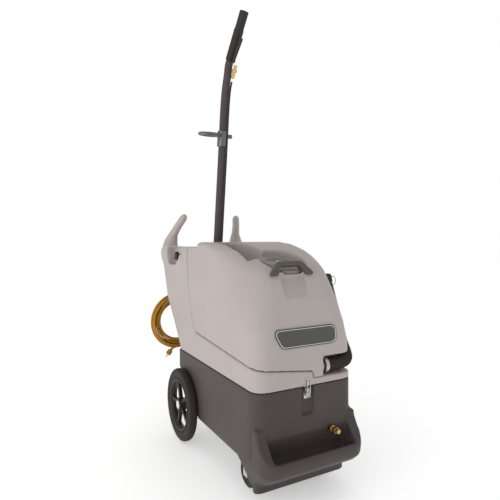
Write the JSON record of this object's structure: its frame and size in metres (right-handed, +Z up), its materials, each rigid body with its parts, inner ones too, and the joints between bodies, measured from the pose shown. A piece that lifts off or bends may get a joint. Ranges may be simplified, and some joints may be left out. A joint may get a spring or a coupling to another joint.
{
  "type": "carpet spot extractor",
  "caption": "Wheeled carpet and spot extractor: solution tank, hinged housing with lift-off recovery tank, drain hose, coiled cord and floor wand.",
  "frame": {"origin": "middle of the footprint at floor level, measured without the power cord", "axes": "+Z up, the front tray towards -Y, the rear wheels towards +Y, +X to the right when looking along +Y"},
  "size_m": [0.5159, 1.029, 1.8685],
  "materials": {
    "grey_shell": "satin moulded",
    "dark_shell": "satin moulded",
    "black_plastic": "satin",
    "charcoal_plastic": "satin",
    "red_plastic": "gloss",
    "clear_plastic": "clear",
    "ball_plastic": "gloss",
    "filter_plastic": "satin",
    "tyre_rubber": "matte",
    "hose_rubber": "corrugated",
    "cord_rubber": "satin",
    "zinc_steel": "zinc plated",
    "steel": "brushed",
    "chrome": "polished",
    "cast_metal": "cast",
    "brass": "machined",
    "badge_metal": "satin"
  },
  "bodies": {
    "base": {"solution_tank": "dark_shell", "rear_axle": "steel", "caster_plate_left": "zinc_steel", "caster_plate_right": "zinc_steel", "hinge_leaf_left": "steel", "hinge_leaf_right": "steel", "latch_base": "steel", "solution_outlet": "brass", "solution_filter": "filter_plastic"},
    "housing": {"housing": "grey_shell", "hinge_strap_left": "steel", "hinge_strap_right": "steel", "latch_keeper": "steel", "control_panel": "dark_shell", "vacuum_motor": "cast_metal", "pump_motor": "black_plastic", "pump_head": "brass", "cord_hook": "black_plastic", "wand_clip": "black_plastic", "wand_rest": "steel", "strain_relief": "black_plastic", "power_cord": "cord_rubber", "cord_coil": "cord_rubber", "plug": "cord_rubber"},
    "wheel_left": {"tyre_left": "tyre_rubber", "rim_left": "black_plastic", "hub_cap_left": "chrome"},
    "wheel_right": {"tyre_right": "tyre_rubber", "rim_right": "black_plastic", "hub_cap_right": "chrome"},
    "caster_swivel_left": {"caster_fork_left": "zinc_steel", "caster_axle_left": "steel"},
    "caster_swivel_right": {"caster_fork_right": "zinc_steel", "caster_axle_right": "steel"},
    "caster_roll_left": {"caster_wheel_left": "black_plastic"},
    "caster_roll_right": {"caster_wheel_right": "black_plastic"},
    "latch_lever": {"latch_lever": "steel"},
    "latch_loop": {"latch_loop": "steel"},
    "outlet_sleeve": {"outlet_sleeve": "brass"},
    "side_knob": {"side_knob": "black_plastic"},
    "vacuum_switch": {"vacuum_switch": "red_plastic"},
    "pump_switch": {"pump_switch": "black_plastic"},
    "recovery": {"recovery_tank": "grey_shell", "carry_handle": "charcoal_plastic", "badge_plate": "badge_metal", "vacuum_elbow": "black_plastic", "drain_hose": "hose_rubber", "hose_clamp": "steel", "cap_strap": "hose_rubber", "float_cage": "dark_shell"},
    "float": {"float_ball": "ball_plastic"},
    "lid": {"clear_lid": "clear_plastic"},
    "drain_cap": {"drain_cap": "black_plastic"},
    "wand": {"wand_tube": "dark_shell", "wand_grip": "black_plastic", "solution_line": "black_plastic", "valve_body": "brass", "wand_head": "steel"},
    "valve_lever": {"valve_lever": "black_plastic"},
    "aux_handle": {"aux_handle": "cast_metal"}
  },
  "joints": [
    {"name": "housing_tilt", "type": "hinge", "parent": "base", "child": "housing", "pos_m": [0, 0.2885, 0.388], "axis": [-1, 0, 0], "range_deg": [0, 45]},
    {"name": "wheel_left_roll", "type": "hinge", "parent": "base", "child": "wheel_left", "pos_m": [-0.2255, 0.1755, 0.1525], "axis": [1, 0, 0], "continuous": true},
    {"name": "wheel_right_roll", "type": "hinge", "parent": "base", "child": "wheel_right", "pos_m": [0.2255, 0.1755, 0.1525], "axis": [1, 0, 0], "continuous": true},
    {"name": "caster_left_swivel", "type": "hinge", "parent": "base", "child": "caster_swivel_left", "pos_m": [-0.145, -0.2745, 0.112], "axis": [0, 0, 1], "continuous": true},
    {"name": "caster_right_swivel", "type": "hinge", "parent": "base", "child": "caster_swivel_right", "pos_m": [0.145, -0.2745, 0.112], "axis": [0, 0, 1], "continuous": true},
    {"name": "caster_left_roll", "type": "hinge", "parent": "caster_swivel_left", "child": "caster_roll_left", "pos_m": [-0.145, -0.2965, 0.051], "axis": [1, 0, 0], "continuous": true},
    {"name": "caster_right_roll", "type": "hinge", "parent": "caster_swivel_right", "child": "caster_roll_right", "pos_m": [0.145, -0.2965, 0.051], "axis": [1, 0, 0], "continuous": true},
    {"name": "latch_lever_swing", "type": "hinge", "parent": "base", "child": "latch_lever", "pos_m": [0, -0.4425, 0.364], "axis": [-1, 0, 0], "range_deg": [0, 100]},
    {"name": "latch_loop_swing", "type": "hinge", "parent": "latch_lever", "child": "latch_loop", "pos_m": [0, -0.4503, 0.352], "axis": [1, 0, 0], "range_deg": [0, 130]},
    {"name": "outlet_sleeve_slide", "type": "slide", "parent": "base", "child": "outlet_sleeve", "axis": [0, 1, 0], "range_m": [0, 0.005], "stiffness_N_per_m": 400},
    {"name": "side_knob_turn", "type": "hinge", "parent": "housing", "child": "side_knob", "pos_m": [-0.2, 0.2915, 0.795], "axis": [1, 0, 0], "range_deg": [0, 270]},
    {"name": "vacuum_switch_rock", "type": "hinge", "parent": "housing", "child": "vacuum_switch", "pos_m": [-0.028, 0.2515, 0.752], "axis": [1, 0, 0], "range_deg": [-8, 8]},
    {"name": "pump_switch_rock", "type": "hinge", "parent": "housing", "child": "pump_switch", "pos_m": [0.028, 0.2515, 0.752], "axis": [1, 0, 0], "range_deg": [-8, 8]},
    {"name": "recovery_lift", "type": "slide", "parent": "housing", "child": "recovery", "axis": [0, 0, 1], "range_m": [0, 0.15]},
    {"name": "float_rise", "type": "slide", "parent": "recovery", "child": "float", "axis": [0, 0, 1], "range_m": [0, 0.015]},
    {"name": "lid_twist", "type": "hinge", "parent": "recovery", "child": "lid", "pos_m": [-0.008, -0.2865, 0.788], "axis": [0, -0.309, 0.9511], "range_deg": [0, 60]},
    {"name": "drain_cap_pull", "type": "slide", "parent": "recovery", "child": "drain_cap", "axis": [0, 0.3714, 0.9285], "range_m": [0, 0.04]},
    {"name": "wand_lift", "type": "slide", "parent": "housing", "child": "wand", "axis": [0, -0.1236, 0.9923], "range_m": [0, 0.1]},
    {"name": "valve_lever_squeeze", "type": "hinge", "parent": "wand", "child": "valve_lever", "pos_m": [0, 0.1175, 1.676], "axis": [-1, 0, 0], "range_deg": [0, 8], "stiffness_Nm_per_rad": 2},
    {"name": "aux_handle_slide", "type": "slide", "parent": "wand", "child": "aux_handle", "axis": [0, -0.1236, 0.9923], "range_m": [-0.15, 0]}
  ],
  "couplings": [
    {"joint": "latch_loop_swing", "follows": "latch_lever_swing", "ratio": 1.3}
  ]
}
